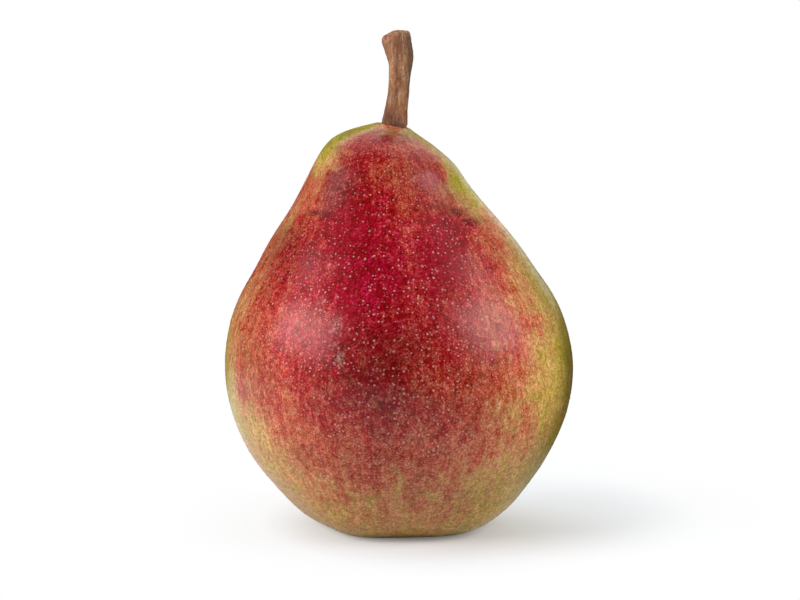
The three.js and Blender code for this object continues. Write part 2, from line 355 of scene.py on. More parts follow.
# Where dull brown russet shows through the blush, as a share.
RUSSET_MARKS = [
    ("lower middle", (2, -34, 29), (24, 14, 18), 0.4),
    ("upper left", (-14, -16, 76), (9, 9, 5), 0.25),
    ("before the stem", (0.5, -6, 85), (6, 5, 3.5), 0.2),
]

# Where the skin was rubbed: dull grey scuffs, and one thin healed scratch.
SCUFF_MARKS = [
    ("scuff", (-12.8, -32.5, 47), (1.2, 3, 4), 0.75),
    ("scuff, lower", (-12.2, -33, 40.5), (1.3, 3, 3.5), 0.6),
    ("scuff, upper", (-16, -29, 52), (1.2, 3, 2), 0.45),
]
SCRATCH_MARKS = [("scratch", (21.7, -24.8, 47.6), (0.3, 3, 2.6), 0.6)]

# What shows in patches over the blush, and the patches.
PATCHY_COATS = [(RUSSET_MARKS, "#7a5f3c"), (SCUFF_MARKS, "#9a8276"), (SCRATCH_MARKS, "#d0885c")]
PATCH_NOISE = {"Scale": 1 / 2.2, "Detail": 4, "Roughness": 0.7}
PATCH_EDGES = {"From Min": 0.42, "From Max": 0.62}

# Where the crimson is cooler, as a share, and the tint that is added there. The tint on the left
# shine is partly a painted sheen.
COOL_MARKS = [
    ("crimson front", (-3, -27, 58), (18, 14, 16), 0.6),
    ("left shine", (-21, -29, 48), (12, 12, 12), 0.3),
]
COOL_TINT = "#04001c"

MARK_FADE = {"From Min": 0.15, "From Max": 1.35}  # a mark is full up to, and gone from, these radii

# The form that the skin's patterns follow, in millimetres: the fruit's radius and girth, and how
# far its axis leans by height. Streaks are squeezed in height to this share before they are drawn.
FRUIT_RADIUS, FRUIT_GIRTH = 36, 230
AXIS_LEAN = {"From Min": 40, "From Max": 78, "To Min": 0, "To Max": -2.9}
STREAK_SQUEEZE = 0.16
WANDER_NOISE = {"Scale": 1 / 6, "Detail": 3, "Roughness": 0.6}
WANDER_REACH = 12
PEBBLE_NOISE = {"Scale": 1.2, "Detail": 3, "Roughness": 0.6}
CURVES_TOP = 90  # the height where the curves by height end

# Lenticels are the dots where the feature points of a random 3-D lattice lie close to the skin.
# The material and the raised domes share the lattice, so paint and relief fall together. Pitches
# and radii are in millimetres, and a radius holds where the feature point lies right on the skin.
LATTICE = 1.0
DOT_SIZES = {"To Min": 0.14, "To Max": 0.31}
NECK_DOTS = {"From Min": 56, "From Max": 84, "To Min": 1, "To Max": 0.7}  # share of size by height
DOT_EDGES = [("ragged edge", 0.3, False, 1, 0.5, 1.1)]  # a pattern, added to the distance in radii
SPECK_PITCH = 0.62
SPECK_SIZES = {"From Min": 0.4, "To Min": 0.01, "To Max": 0.19}

# How dots, their dark rims and specks fade with the distance in radii, and their colours by the
# share of the blush.
DOT_FADE = {"From Min": 0.6, "From Max": 1.2, "To Min": 0.8, "To Max": 0}
HALO_FADE = {"From Min": 1, "From Max": 2.2, "To Min": 0.5, "To Max": 0}
SPECK_FADE = {"From Min": 0.6, "From Max": 1.3, "To Min": 0.4, "To Max": 0}
DOT_COLOURS = [(0.25, "#b08c54"), (0.5, "#d69070"), (0.85, "#f08c84")]
HALO_COLOURS = [(0.2, "#96783a"), (0.6, "#742e1c"), (0.9, "#4c000a")]


def soft_marks(tree, where, marks, value):
    """Adds each mark's change to a value, fading over an ellipsoid with blurred edges."""
    for label, centre, radii, change in marks:
        away = add(tree, "ShaderNodeVectorMath.SUBTRACT", [where, centre])
        share = add(tree, "ShaderNodeVectorMath.DIVIDE", [away, radii])
        reach = add(tree, "ShaderNodeVectorMath.LENGTH", [share]).outputs["Value"]
        spread = {"Value": reach, **MARK_FADE, "To Min": change, "To Max": 0}
        smooth = {"interpolation_type": "SMOOTHSTEP", "label": label}
        effect = add(tree, RANGE, spread, **smooth)
        value = add(tree, "ShaderNodeMath.ADD", [value, effect])
    return value


def patterned(tree, spaces, patterns, value):
    """Adds patterns to a value. Spaces are the plain place in millimetres and the drawn-out one."""
    for label, size, streaky, detail, roughness, strength in patterns:
        noise = {"Vector": spaces[streaky], "Scale": 1 / size, "Detail": detail}
        noise["Roughness"] = roughness
        pattern = add(tree, NOISE, noise, label=label)
        even = add(tree, "ShaderNodeMath.SUBTRACT", [pattern, 0.5])
        value = add(tree, "ShaderNodeMath.MULTIPLY_ADD", [even, strength, value])
    return value


def by_side_and_height(tree, side, height, round_curve, up_curve, start):
    """The product of a curve by bearing and one by height, added to a start. The side is a share
    of the whole turn, and the height a share of CURVES_TOP."""
    turned = [(bearing / 360 + 0.5, value) for bearing, value in round_curve]
    raised = [(z / CURVES_TOP, value) for z, value in up_curve]
    by_side = add(tree, CURVE, {"Value": side}, curve=turned)
    by_height = add(tree, CURVE, {"Value": height}, curve=raised)
    return add(tree, "ShaderNodeMath.MULTIPLY_ADD", [by_side, by_height, start])


def near_dot(tree, mm, pitch):
    """The nearest feature point of a random lattice, as its chance and its distance."""
    lattice = add(tree, "ShaderNodeTexVoronoi", {"Vector": mm, "Scale": 1 / pitch})
    chance = add(tree, SPLIT, [lattice.outputs["Color"]]).outputs[0]
    off = lattice.outputs["Distance"]
    return chance, add(tree, "ShaderNodeMath.MULTIPLY", [off, pitch])


def dot_radius(tree, chance, height):
    """A dot's radius in millimetres, by its chance in the lattice. Dots shrink up the neck."""
    full = add(tree, RANGE, {"Value": chance, **DOT_SIZES})
    share = add(tree, RANGE, {"Value": height, **NECK_DOTS})
    return add(tree, "ShaderNodeMath.MULTIPLY", [full, share])


def skin_material():
    """Pear skin: thin, waxy and slightly translucent over pale flesh. The wax gives it a soft
    broad shine, and the sun side has blushed crimson over an ochre and green ground."""
    material, tree = new_material("pear_skin_waxy")
    mm = in_millimetres(tree)
    x, y, z = add(tree, SPLIT, [mm]).outputs

    # Bearing round the fruit, whose axis leans to the left towards the top.
    axis = add(tree, RANGE, {"Value": z, **AXIS_LEAN})
    across = add(tree, "ShaderNodeMath.SUBTRACT", [x, axis])
    front = add(tree, "ShaderNodeMath.MULTIPLY", [y, -1])
    bearing = add(tree, "ShaderNodeMath.ARCTAN2", [across, front])

    # Streaks run from stem to calyx: their space is the way out from the axis, drawn out in height.
    flat = add(tree, BUILD, [across, y])
    outward = add(tree, "ShaderNodeVectorMath.NORMALIZE", [flat])
    ring = add(tree, "ShaderNodeVectorMath.SCALE", {0: outward, "Scale": FRUIT_RADIUS})
    squeezed = add(tree, "ShaderNodeMath.MULTIPLY", [z, STREAK_SQUEEZE])
    rise = add(tree, BUILD, {"Z": squeezed})
    drawn_out = add(tree, "ShaderNodeVectorMath.ADD", [ring, rise])
    spaces = (mm, drawn_out)

    # A slow wander bends the edges of everything.
    bend = drift(tree, {"Vector": mm, **WANDER_NOISE}, WANDER_REACH)
    bent_mm = add(tree, "ShaderNodeVectorMath.ADD", [mm, bend])
    wander = add(tree, SPLIT, [bend]).outputs
    side = add(tree, RANGE, {"Value": bearing, "From Min": -math.pi, "From Max": math.pi})
    bent_side = add(tree, "ShaderNodeMath.MULTIPLY_ADD", [wander[0], 1 / FRUIT_GIRTH, side])
    bent_z = add(tree, "ShaderNodeMath.ADD", [z, wander[2]])
    bent_height = add(tree, "ShaderNodeMath.MULTIPLY", [bent_z, 1 / CURVES_TOP])

    blush = by_side_and_height(tree, bent_side, bent_height, BLUSH_ROUND, BLUSH_UP, 0)
    blush = soft_marks(tree, bent_mm, BLUSH_MARKS, blush)
    broken = patterned(tree, spaces, BLUSH_PATTERNS, 0)
    strength = add(tree, RANGE, {"Value": blush, **CALM_GROUND})
    blush = add(tree, "ShaderNodeMath.MULTIPLY_ADD", [broken, strength, blush])
    share = add(tree, RANGE, {"Value": blush, "From Min": LEAST_BLUSH, "From Max": MOST_BLUSH})
    span = MOST_BLUSH - LEAST_BLUSH
    stops = [((place - LEAST_BLUSH) / span, tint) for place, tint in SKIN_COLOURS]
    colour = add(tree, RAMP, [share], stops=stops)

    # Colour that the blush doesn't give.
    patches = add(tree, NOISE, {"Vector": mm, **PATCH_NOISE})
    patchy = add(tree, RANGE, {"Value": patches, **PATCH_EDGES})
    for marks, tint in PATCHY_COATS:
        reach = soft_marks(tree, mm, marks, 0)
        worn = add(tree, "ShaderNodeMath.MULTIPLY", [reach, patchy])
        colour = coated(tree, colour, [(worn, tint, "MIX")])
    cool = soft_marks(tree, mm, COOL_MARKS, 0)
    colour = coated(tree, colour, [(cool, COOL_TINT, "ADD")])

    # Flecks are added in steps that look even to the eye, so the colour is raised to display gamma
    # for them and brought back.
    seen = add(tree, "ShaderNodeGamma", {"Color": colour, "Gamma": 1 / DISPLAY_GAMMA})
    even_flecks = patterned(tree, spaces, FLECK_PATTERNS, 0)
    depth = add(tree, RANGE, {"Value": share, **FLECK_DEPTH})
    flecks = add(tree, "ShaderNodeMath.MULTIPLY", [even_flecks, depth])
    flecked = add(tree, "ShaderNodeVectorMath.ADD", [seen, flecks])
    kept = add(tree, "ShaderNodeVectorMath.MAXIMUM", [flecked, DARKEST_SEEN])
    lit = add(tree, "ShaderNodeGamma", {"Color": kept, "Gamma": DISPLAY_GAMMA})

    # Lenticels: pale corky dots with a dark rim in the blush, brown ones on the ground colour.
    # Between them lie specks too small to stand up.
    chance, off = near_dot(tree, mm, LATTICE)
    radii = add(tree, "ShaderNodeMath.DIVIDE", [off, dot_radius(tree, chance, z)])
    ragged = patterned(tree, spaces, DOT_EDGES, radii)
    dot, halo = (
        add(tree, RANGE, {"Value": ragged, **fade}, interpolation_type="SMOOTHSTEP")
        for fade in (DOT_FADE, HALO_FADE)
    )
    chance, off = near_dot(tree, mm, SPECK_PITCH)
    speck_radius = add(tree, RANGE, {"Value": chance, **SPECK_SIZES})
    radii = add(tree, "ShaderNodeMath.DIVIDE", [off, speck_radius])
    speck = add(tree, RANGE, {"Value": radii, **SPECK_FADE})
    rim = add(tree, RAMP, [share], stops=HALO_COLOURS)
    cork = add(tree, RAMP, [share], stops=DOT_COLOURS)
    dotted = coated(tree, lit, [(speck, cork, "MIX"), (halo, rim, "MIX"), (dot, cork, "MIX")])
    # Painted shade on the side turned from the lights, and the painted light and shade of the marks,
    # scale the colour.
    light = by_side_and_height(tree, bent_side, bent_height, PAINTED_SHADE_ROUND, PAINTED_SHADE_UP, 1)
    light = soft_marks(tree, mm, SHADE_MARKS, light)
    shaded = add(tree, "ShaderNodeVectorMath.SCALE", {0: dotted, "Scale": light})

    # The skin is faintly pebbled, and its dots stand up.
    pebble = add(tree, NOISE, {"Vector": mm, **PEBBLE_NOISE})
    height = add(tree, "ShaderNodeMath.ADD", [pebble, dot])
    relief = {"Height": height, "Strength": 0.35, "Distance": 0.12 * MM}
    bump = add(tree, "ShaderNodeBump", relief)
    wax = {
        "Base Color": shaded,
        "Roughness": 0.29,
        "IOR": 1.4,
        "Specular IOR Level": 0.38,
        "Normal": bump,
        "Subsurface Weight": 0.08,
        "Subsurface Radius": (1.0, 0.35, 0.2),
        "Subsurface Scale": 1.2 * MM,
    }
    shader = add(tree, "ShaderNodeBsdfPrincipled", wax)
    add(tree, "ShaderNodeOutputMaterial", [shader])
    return material


# Painted light and shade on the stem: darker on its right side and knob, its left and tip edges and
# its root, where shade falls, and lighter down its middle and by its root on the right. Then the
# scar where it broke from the spur.
STEM_SHADES = [
    ("shaded right side", (3.0, -0.6, 96), (2.0, 4.5, 11), -0.5),
    ("shaded right knob", (2.6, -0.6, 104), (1.8, 4.5, 3.5), -0.4),
    ("dark left edge", (-3.1, 0.5, 96), (1.0, 4, 11), -0.3),
    ("dark root", (-1.8, -2.2, 87.5), (3.2, 3, 2.4), -0.25),
    ("pale middle", (-0.6, -2.6, 97), (2.2, 2.5, 9), 0.2),
    ("pale right root", (1.4, -2.4, 90), (2.2, 3, 4), 0.24),
    ("dark tip edge", (-0.6, -0.5, 107), (4.5, 4, 0.8), -0.35),
    ("pale right stripe", (1.0, -2.6, 96), (0.7, 2, 9), 0.12),
]
STEM_SCAR = [("spur scar", (-2.7, -1.8, 104.9), (1.9, 2.4, 2.2), 1.0)]
STEM_ROOT = [("red root", (-1.5, -2, 87.6), (4, 4, 3.4), 0.5)]
STEM_RUST = [
    ("rust stripe", (-1.0, -2.6, 96.5), (0.9, 2.5, 8), 0.4),
    ("rust knob", (-0.3, -2.6, 103.5), (1.8, 2.5, 2.6), 0.3),
    ("rust root", (-2.6, -2.0, 90), (1.2, 2.5, 3.5), 0.6),
]

# The patterns of the bark, as those of the skin are given.
BARK_PATTERNS = [
    ("bark flakes", 0.7, False, 3, 0.7, 0.4),
    ("fine fibres", 0.3, True, 3, 0.75, 0.8),
    ("bark grain", 0.26, False, 2, 0.7, 0.55),
]
FIBRE_SQUEEZE, BLOTCH_SQUEEZE = (1, 1, 0.13), (1, 1, 0.45)
FIBRE_NOISE = {"Scale": 1.5, "Detail": 4, "Roughness": 0.6}
RUST_NOISE = {"Scale": 0.75, "Detail": 4, "Roughness": 0.65}
SCAB_NOISE = {"Scale": 1.4, "Detail": 3, "Roughness": 0.7}

# The bark by its tone, the scar by its scabs, and where blotches of rust and of grey lie over it.
BARK_COLOURS = [(0.28, "#5c3826"), (0.43, "#8c5f40"), (0.57, "#ad7e54"), (0.74, "#c8a484")]
SCAR_COLOURS = [(0.38, "#7c402c"), (0.5, "#a66a48"), (0.62, "#be8c68")]
RUST_BLOTCHES = {"From Min": 0.46, "From Max": 0.64, "To Max": 0.75}
GREY_BLOTCHES = {"From Min": 0.46, "From Max": 0.34, "To Max": 0.7}


def stem_material():
    """Pear wood with thin weathered bark: dry and matt, with fibres along it in tan, orange-brown
    and grey, and a rough pinkish scar at the tip where it broke from the spur."""
    material, tree = new_material("stem_bark_weathered")
    mm = in_millimetres(tree)
    drawn_out = add(tree, "ShaderNodeVectorMath.MULTIPLY", [mm, FIBRE_SQUEEZE])
    blotchy = add(tree, "ShaderNodeVectorMath.MULTIPLY", [mm, BLOTCH_SQUEEZE])
    fibres = add(tree, NOISE, {"Vector": drawn_out, **FIBRE_NOISE})
    rust = add(tree, NOISE, {"Vector": blotchy, **RUST_NOISE})
    scab = add(tree, NOISE, {"Vector": mm, **SCAB_NOISE})
    tone = patterned(tree, (mm, drawn_out), BARK_PATTERNS, fibres)
    bark = add(tree, RAMP, [tone], stops=BARK_COLOURS)
    scar = add(tree, RAMP, [scab], stops=SCAR_COLOURS)
    rusty = add(tree, RANGE, {"Value": rust, **RUST_BLOTCHES})
    greyed = add(tree, RANGE, {"Value": rust, **GREY_BLOTCHES})
    scarred, striped, rooted = (
        soft_marks(tree, mm, marks, 0) for marks in (STEM_SCAR, STEM_RUST, STEM_ROOT)
    )
    coats = [
        (rusty, "#9e6230", "MIX"),
        (greyed, "#95685a", "MIX"),
        (scarred, scar, "MIX"),
        (striped, "#b87c5c", "MULTIPLY"),
        (rooted, "#e0b0a0", "MULTIPLY"),
    ]
    whole = coated(tree, bark, coats)
    # The painted shade and light of the marks scale the bark's colour.
    light = soft_marks(tree, mm, STEM_SHADES, 1)
    colour = add(tree, "ShaderNodeVectorMath.SCALE", {0: whole, "Scale": light})
    rough = add(tree, "ShaderNodeMath.ADD", [tone, scab])
    bump = add(tree, "ShaderNodeBump", {"Height": rough, "Strength": 0.7, "Distance": 0.3 * MM})
    wood = {"Base Color": colour, "Roughness": 0.68, "Normal": bump}
    shader = add(tree, "ShaderNodeBsdfPrincipled", wood)
    add(tree, "ShaderNodeOutputMaterial", [shader])
    return material


# The dried tissue's colours by its tone, which veins break up and which is paler at the low tips.
CALYX_COLOURS = [(0.3, "#1c120c"), (0.45, "#3d291b"), (0.58, "#6b4f37"), (0.72, "#9a8263")]
VEIN_NOISE = {"Scale": 1.6, "Detail": 5, "Roughness": 0.7}
WEATHERED_TIPS = {"From Min": 5.2, "From Max": 1.8, "To Min": -0.12, "To Max": 0.14}


def calyx_material():
    """Withered sepals and stamens: papery dead tissue, dull and dry, from dark umber in the cup to
    a grey tan where the tips have weathered."""
    material, tree = new_material("calyx_tissue_withered")
    mm = in_millimetres(tree)
    veins = add(tree, NOISE, {"Vector": mm, **VEIN_NOISE})
    height = add(tree, SPLIT, [mm]).outputs["Z"]
    weathered = add(tree, RANGE, {"Value": height, **WEATHERED_TIPS})
    tone = add(tree, "ShaderNodeMath.ADD", [veins, weathered])
    colour = add(tree, RAMP, [tone], stops=CALYX_COLOURS)
    bump = add(tree, "ShaderNodeBump", {"Height": veins, "Strength": 0.5, "Distance": 0.2 * MM})
    tissue = {"Base Color": colour, "Roughness": 0.85, "Sheen Weight": 0.2, "Normal": bump}
    shader = add(tree, "ShaderNodeBsdfPrincipled", tissue)
    add(tree, "ShaderNodeOutputMaterial", [shader])
    return material


# ---------------- the fruit

# Where edges stay sharp, by their angle in radians, and where the skin puckers: inside the basin by
# distance from its middle and by height, and on the shoulder by height.
SHARP_EDGES = {"From Min": 0.6, "From Max": 1.2}
BASIN_REACH = {"From Min": 10.5 * MM, "From Max": 6.5 * MM}
BASIN_HEIGHT = {"From Min": 0.8 * MM, "From Max": 4.5 * MM}
SHOULDER_HEIGHT = {"From Min": 78 * MM, "From Max": 84 * MM, "To Max": 0.3}
PUCKER_DRIFT = 9.0  # how far the swells push the folds about, in radians
FLOOR_CORNER = (-1, -1, 0)  # lower than the whole fruit, but for the floor


def fruit_skin(material):
    """The skin over the solid's own form: finer faces, soft undulations and puckers at both ends."""
    sizes = {
        "Levels": 2,
        "Swell": 0.18 * MM,
        "Swell size": 13 * MM,
        "Pucker": 0.22 * MM,
        "Folds": 11,
        "Lip": 0.85,
    }
    tree, given = geometry_tree("fruit_skin", sizes)
    corner = add(tree, "GeometryNodeInputMeshEdgeAngle")
    sharp = {"Value": corner, **SHARP_EDGES, "To Max": given["Lip"]}
    crease = add(tree, RANGE, sharp)
    cage = {"Mesh": given["Geometry"], "Level": given["Levels"], "Edge Crease": crease}
    fine = add(tree, "GeometryNodeSubdivisionSurface", cage)
    position = add(tree, PLACE)
    normal = add(tree, "GeometryNodeInputNormal")
    pitch = add(tree, "ShaderNodeMath.DIVIDE", [1, given["Swell size"]])
    swell = add(tree, NOISE, {"Vector": position, "Scale": pitch, "Detail": 2})
    even = add(tree, "ShaderNodeMath.SUBTRACT", [swell, 0.5])
    rise = add(tree, "ShaderNodeMath.MULTIPLY", [even, given["Swell"]])

    # The skin is drawn into puckers inside the calyx basin and, more faintly, round the stem.
    x, y, z = add(tree, SPLIT, [position]).outputs
    bearing = add(tree, "ShaderNodeMath.ARCTAN2", [x, y])
    folds = add(tree, "ShaderNodeMath.MULTIPLY", [bearing, given["Folds"]])
    uneven = add(tree, "ShaderNodeMath.MULTIPLY_ADD", [even, PUCKER_DRIFT, folds])
    ripple = add(tree, "ShaderNodeMath.SINE", [uneven])
    away = add(tree, "ShaderNodeVectorMath.LENGTH", [position]).outputs["Value"]
    close = add(tree, RANGE, {"Value": away, **BASIN_REACH})
    inside = add(tree, RANGE, {"Value": z, **BASIN_HEIGHT})
    basin = add(tree, "ShaderNodeMath.MULTIPLY", [inside, close])
    shoulder = add(tree, RANGE, {"Value": z, **SHOULDER_HEIGHT})
    ends = add(tree, "ShaderNodeMath.MAXIMUM", [basin, shoulder])
    depth = add(tree, "ShaderNodeMath.MULTIPLY", [ends, given["Pucker"]])
    rise = add(tree, "ShaderNodeMath.MULTIPLY_ADD", [ripple, depth, rise])
    offset = add(tree, "ShaderNodeVectorMath.SCALE", {0: normal, "Scale": rise})
    moved = add(tree, "ShaderNodeVectorMath.ADD", [position, offset])

    # Nothing is let through the floor that the fruit stands on.
    on_floor = add(tree, "ShaderNodeVectorMath.MAXIMUM", [moved, FLOOR_CORNER])
    shaped = add(tree, SHIFT, {"Geometry": fine, "Position": on_floor})
    finish_tree(tree, shaped, material)
    return grown(cage_of(FRUIT, "fruit_cage"), "fruit_skin", tree, sizes)


SAME_POINT = 0.02 * MM  # points closer than this are merged


def lenticels(skin, material):
    """The raised lenticels: low corky domes where the lattice's feature points lie in the skin. Many
    scattered points are drawn to their feature points and merged, and those too deep are dropped."""
    sizes = {
        "Scatter": 7.0e6,
        "Pitch": LATTICE * MM,
        "Least shown": 0.13 * MM,
        "Rise": 0.2,
        "Foot": 0.5 * MM,
        "Seed": 5,
    }
    tree, given = geometry_tree("lenticels", sizes)
    scatter = {"Mesh": given["Geometry"], "Density": given["Scatter"], "Seed": given["Seed"]}
    scattered = add(tree, "GeometryNodeDistributePointsOnFaces", scatter)
    position = add(tree, PLACE)
    mm = add(tree, "ShaderNodeVectorMath.SCALE", {0: position, "Scale": 1 / MM})
    pitch_mm = add(tree, "ShaderNodeMath.MULTIPLY", [given["Pitch"], 1 / MM])
    per_mm = add(tree, "ShaderNodeMath.DIVIDE", [1, pitch_mm])
    lattice = add(tree, "ShaderNodeTexVoronoi", {"Vector": mm, "Scale": per_mm}).outputs
    feature = add(tree, "ShaderNodeVectorMath.SCALE", {0: lattice["Position"], "Scale": MM})
    drawn = add(tree, SHIFT, {"Geometry": scattered, "Position": feature})
    single = add(tree, "GeometryNodeMergeByDistance", {"Geometry": drawn, "Distance": SAME_POINT})

    # A dome's foot is the circle in which a ball of the dot's radius cuts the skin.
    chance = add(tree, SPLIT, [lattice["Color"]]).outputs[0]
    high_mm = add(tree, SPLIT, [mm]).outputs["Z"]
    radius_mm = dot_radius(tree, chance, high_mm)
    radius = add(tree, "ShaderNodeMath.MULTIPLY", [radius_mm, MM])
    nearest = add(tree, "GeometryNodeProximity", {"Geometry": given["Geometry"]}).outputs
    squared = add(tree, "ShaderNodeMath.POWER", [radius, 2])
    depth = add(tree, "ShaderNodeMath.POWER", [nearest["Distance"], 2])
    left_over = add(tree, "ShaderNodeMath.SUBTRACT", [squared, depth])
    foot = add(tree, "ShaderNodeMath.POWER", [left_over, 0.5])
    noted = {"Geometry": single, "Name": "foot", "Value": foot}
    kept = add(tree, "GeometryNodeStoreNamedAttribute", noted)
    stored = add(tree, "GeometryNodeInputNamedAttribute", {"Name": "foot"}, data_type="FLOAT")
    small = add(tree, "ShaderNodeMath.LESS_THAN", [stored, given["Least shown"]])
    height = add(tree, SPLIT, [position]).outputs["Z"]
    stood_on = add(tree, "ShaderNodeMath.LESS_THAN", [height, given["Foot"]])
    dropped = add(tree, "FunctionNodeBooleanMath.OR", [small, stood_on])
    on_skin = add(tree, SHIFT, {"Geometry": kept, "Position": nearest["Position"]})
    shown = add(tree, "GeometryNodeDeleteGeometry", {"Geometry": on_skin, "Selection": dropped})
    normal = {"Mesh": given["Geometry"], "Value": add(tree, "GeometryNodeInputNormal")}
    upright = add(tree, "GeometryNodeSampleNearestSurface", normal, data_type="FLOAT_VECTOR")
    turn = add(tree, "FunctionNodeAlignRotationToVector", {"Vector": upright})
    high = add(tree, "ShaderNodeMath.MULTIPLY", [stored, given["Rise"]])
    spread = add(tree, BUILD, [stored, stored, high])
    dome = add(tree, "GeometryNodeMeshUVSphere", {"Segments": 8, "Rings": 3})
    placed = {"Points": shown, "Instance": dome, "Rotation": turn, "Scale": spread}
    domes = add(tree, "GeometryNodeInstanceOnPoints", placed)
    finish_tree(tree, domes, material)
    return grown(skin, "lenticels", tree, sizes)


# The stem's relief: how its noise is drawn out, its scale and detail, and the size it is raised by.
STEM_RELIEF = [
    ((1 / MM, 1 / MM, 0.15 / MM), 0.8, 2, "Fibre"),
    ((1 / MM, 1 / MM, 1 / MM), 0.9, 4, "Flake"),
]


def stem_wood(material):
    """The stem over its solid's own form, with bark fibres raised along it and flakes on them."""
    sizes = {"Levels": 3, "Fibre": 0.5 * MM, "Flake": 0.22 * MM}
    tree, given = geometry_tree("stem_wood", sizes)
    cage = {"Mesh": given["Geometry"], "Level": given["Levels"]}
    fine = add(tree, "GeometryNodeSubdivisionSurface", cage)
    position = add(tree, PLACE)
    normal = add(tree, "GeometryNodeInputNormal")
    rise = 0
    for squeeze, per_mm, detail, relief in STEM_RELIEF:
        drawn = add(tree, "ShaderNodeVectorMath.MULTIPLY", [position, squeeze])
        noise = {"Vector": drawn, "Scale": per_mm, "Detail": detail}
        even = add(tree, "ShaderNodeMath.SUBTRACT", [add(tree, NOISE, noise), 0.5])
        rise = add(tree, "ShaderNodeMath.MULTIPLY_ADD", [even, given[relief], rise])
    offset = add(tree, "ShaderNodeVectorMath.SCALE", {0: normal, "Scale": rise})
    shaped = add(tree, SHIFT, {"Geometry": fine, "Offset": offset})
    finish_tree(tree, shaped, material)
    return grown(cage_of(STEM, "stem_cage"), "stem_wood", tree, sizes)


# ---------------- the dried calyx

# Blades by the share of the way from root to tip, in millimetres: how far out from the fruit's
# axis, how high, and how wide to each side.
SEPAL = (
    [(0, 1.7), (0.3, 2.6), (0.6, 3.6), (0.85, 4.3), (1, 4.5)],
    [(0, 5.3), (0.3, 3.9), (0.6, 2.9), (0.85, 2.2), (1, 1.6)],
    [(0, 1.5), (0.3, 1.35), (0.7, 0.85), (1, 0.3)],
)
STAMEN = (
    [(0, 0.9), (0.5, 1.05), (1, 1.45)],
    [(0, 5.6), (0.5, 4.3), (1, 2.9)],
    [(0, 0.13), (0.7, 0.11), (0.78, 0.4), (1, 0.4)],
)
BLADE_FACES = (0.75, 0.65)  # the way a blade's thickness stands: outwards and up
BLADE_CUP = -0.35  # how far its sides are bent down, by their distance from the middle squared
STRETCH = (0.9, 0.8, 0.94), (1.1, 1.15, 1.04)  # the least and the most that a blade is stretched
TILT = 0.4  # a blade's random tilt as a share of its random turn

# The cup between them, in millimetres: the height of its underside by the share of its radius.
CUP_HEIGHT = [(0, 5.3), (0.5, 4.9), (0.82, 4.35), (0.95, 4.7), (1, 5.4)]
CUP_RADIUS = 2.75
CUP_TOP = 7.6


def blade(tree, out, height, width, thickness, segments, rings):
    """A closed blade grown along a line: a ball whose height becomes the share along it."""
    ball = add(tree, "GeometryNodeMeshUVSphere", {"Segments": segments, "Rings": rings})
    x, y, z = add(tree, SPLIT, [add(tree, PLACE)]).outputs
    share = add(tree, "ShaderNodeMath.MULTIPLY_ADD", [z, 0.5, 0.5])
    reach, rise, half = (
        add(tree, CURVE, {"Value": share}, curve=curve)
        for curve in (out, height, width)
    )
    side = add(tree, "ShaderNodeMath.MULTIPLY", [x, half])
    flat = add(tree, "ShaderNodeMath.MULTIPLY", [y, thickness])
    thick = add(tree, "ShaderNodeMath.MULTIPLY", [flat, half])
    outward = add(tree, "ShaderNodeMath.MULTIPLY_ADD", [thick, BLADE_FACES[0], reach])
    cupped = add(tree, "ShaderNodeMath.MULTIPLY", [side, side])
    lifted = add(tree, "ShaderNodeMath.MULTIPLY_ADD", [cupped, BLADE_CUP, rise])
    upward = add(tree, "ShaderNodeMath.MULTIPLY_ADD", [thick, BLADE_FACES[1], lifted])
    place = add(tree, BUILD, [outward, side, upward])
    return add(tree, SHIFT, {"Geometry": ball, "Position": place})


def whorl(tree, shape, count, first, jitter, seed):
    """Copies of a blade round the axis, each turned, tilted and stretched a little at random."""
    points = add(tree, "GeometryNodePoints", {"Count": count})
    index = add(tree, "GeometryNodeInputIndex")
    step = add(tree, "ShaderNodeMath.DIVIDE", [2 * math.pi, count])
    bearing = add(tree, "ShaderNodeMath.MULTIPLY_ADD", [index, step, first])
    even = add(tree, BUILD, {"Z": bearing})
    tilt = TILT * jitter
    turns = {"Min": (-tilt, -tilt, -jitter), "Max": (tilt, tilt, jitter), "ID": index, "Seed": seed}
    sizes = {"Min": STRETCH[0], "Max": STRETCH[1], "ID": index, "Seed": seed + 1}
    chance, stretch = (
        add(tree, "FunctionNodeRandomValue", span, data_type="FLOAT_VECTOR")
        for span in (turns, sizes)
    )
    turned = add(tree, "ShaderNodeVectorMath.ADD", [even, chance])
    placed = {"Points": points, "Instance": shape, "Rotation": turned, "Scale": stretch}
    return add(tree, "GeometryNodeInstanceOnPoints", placed)


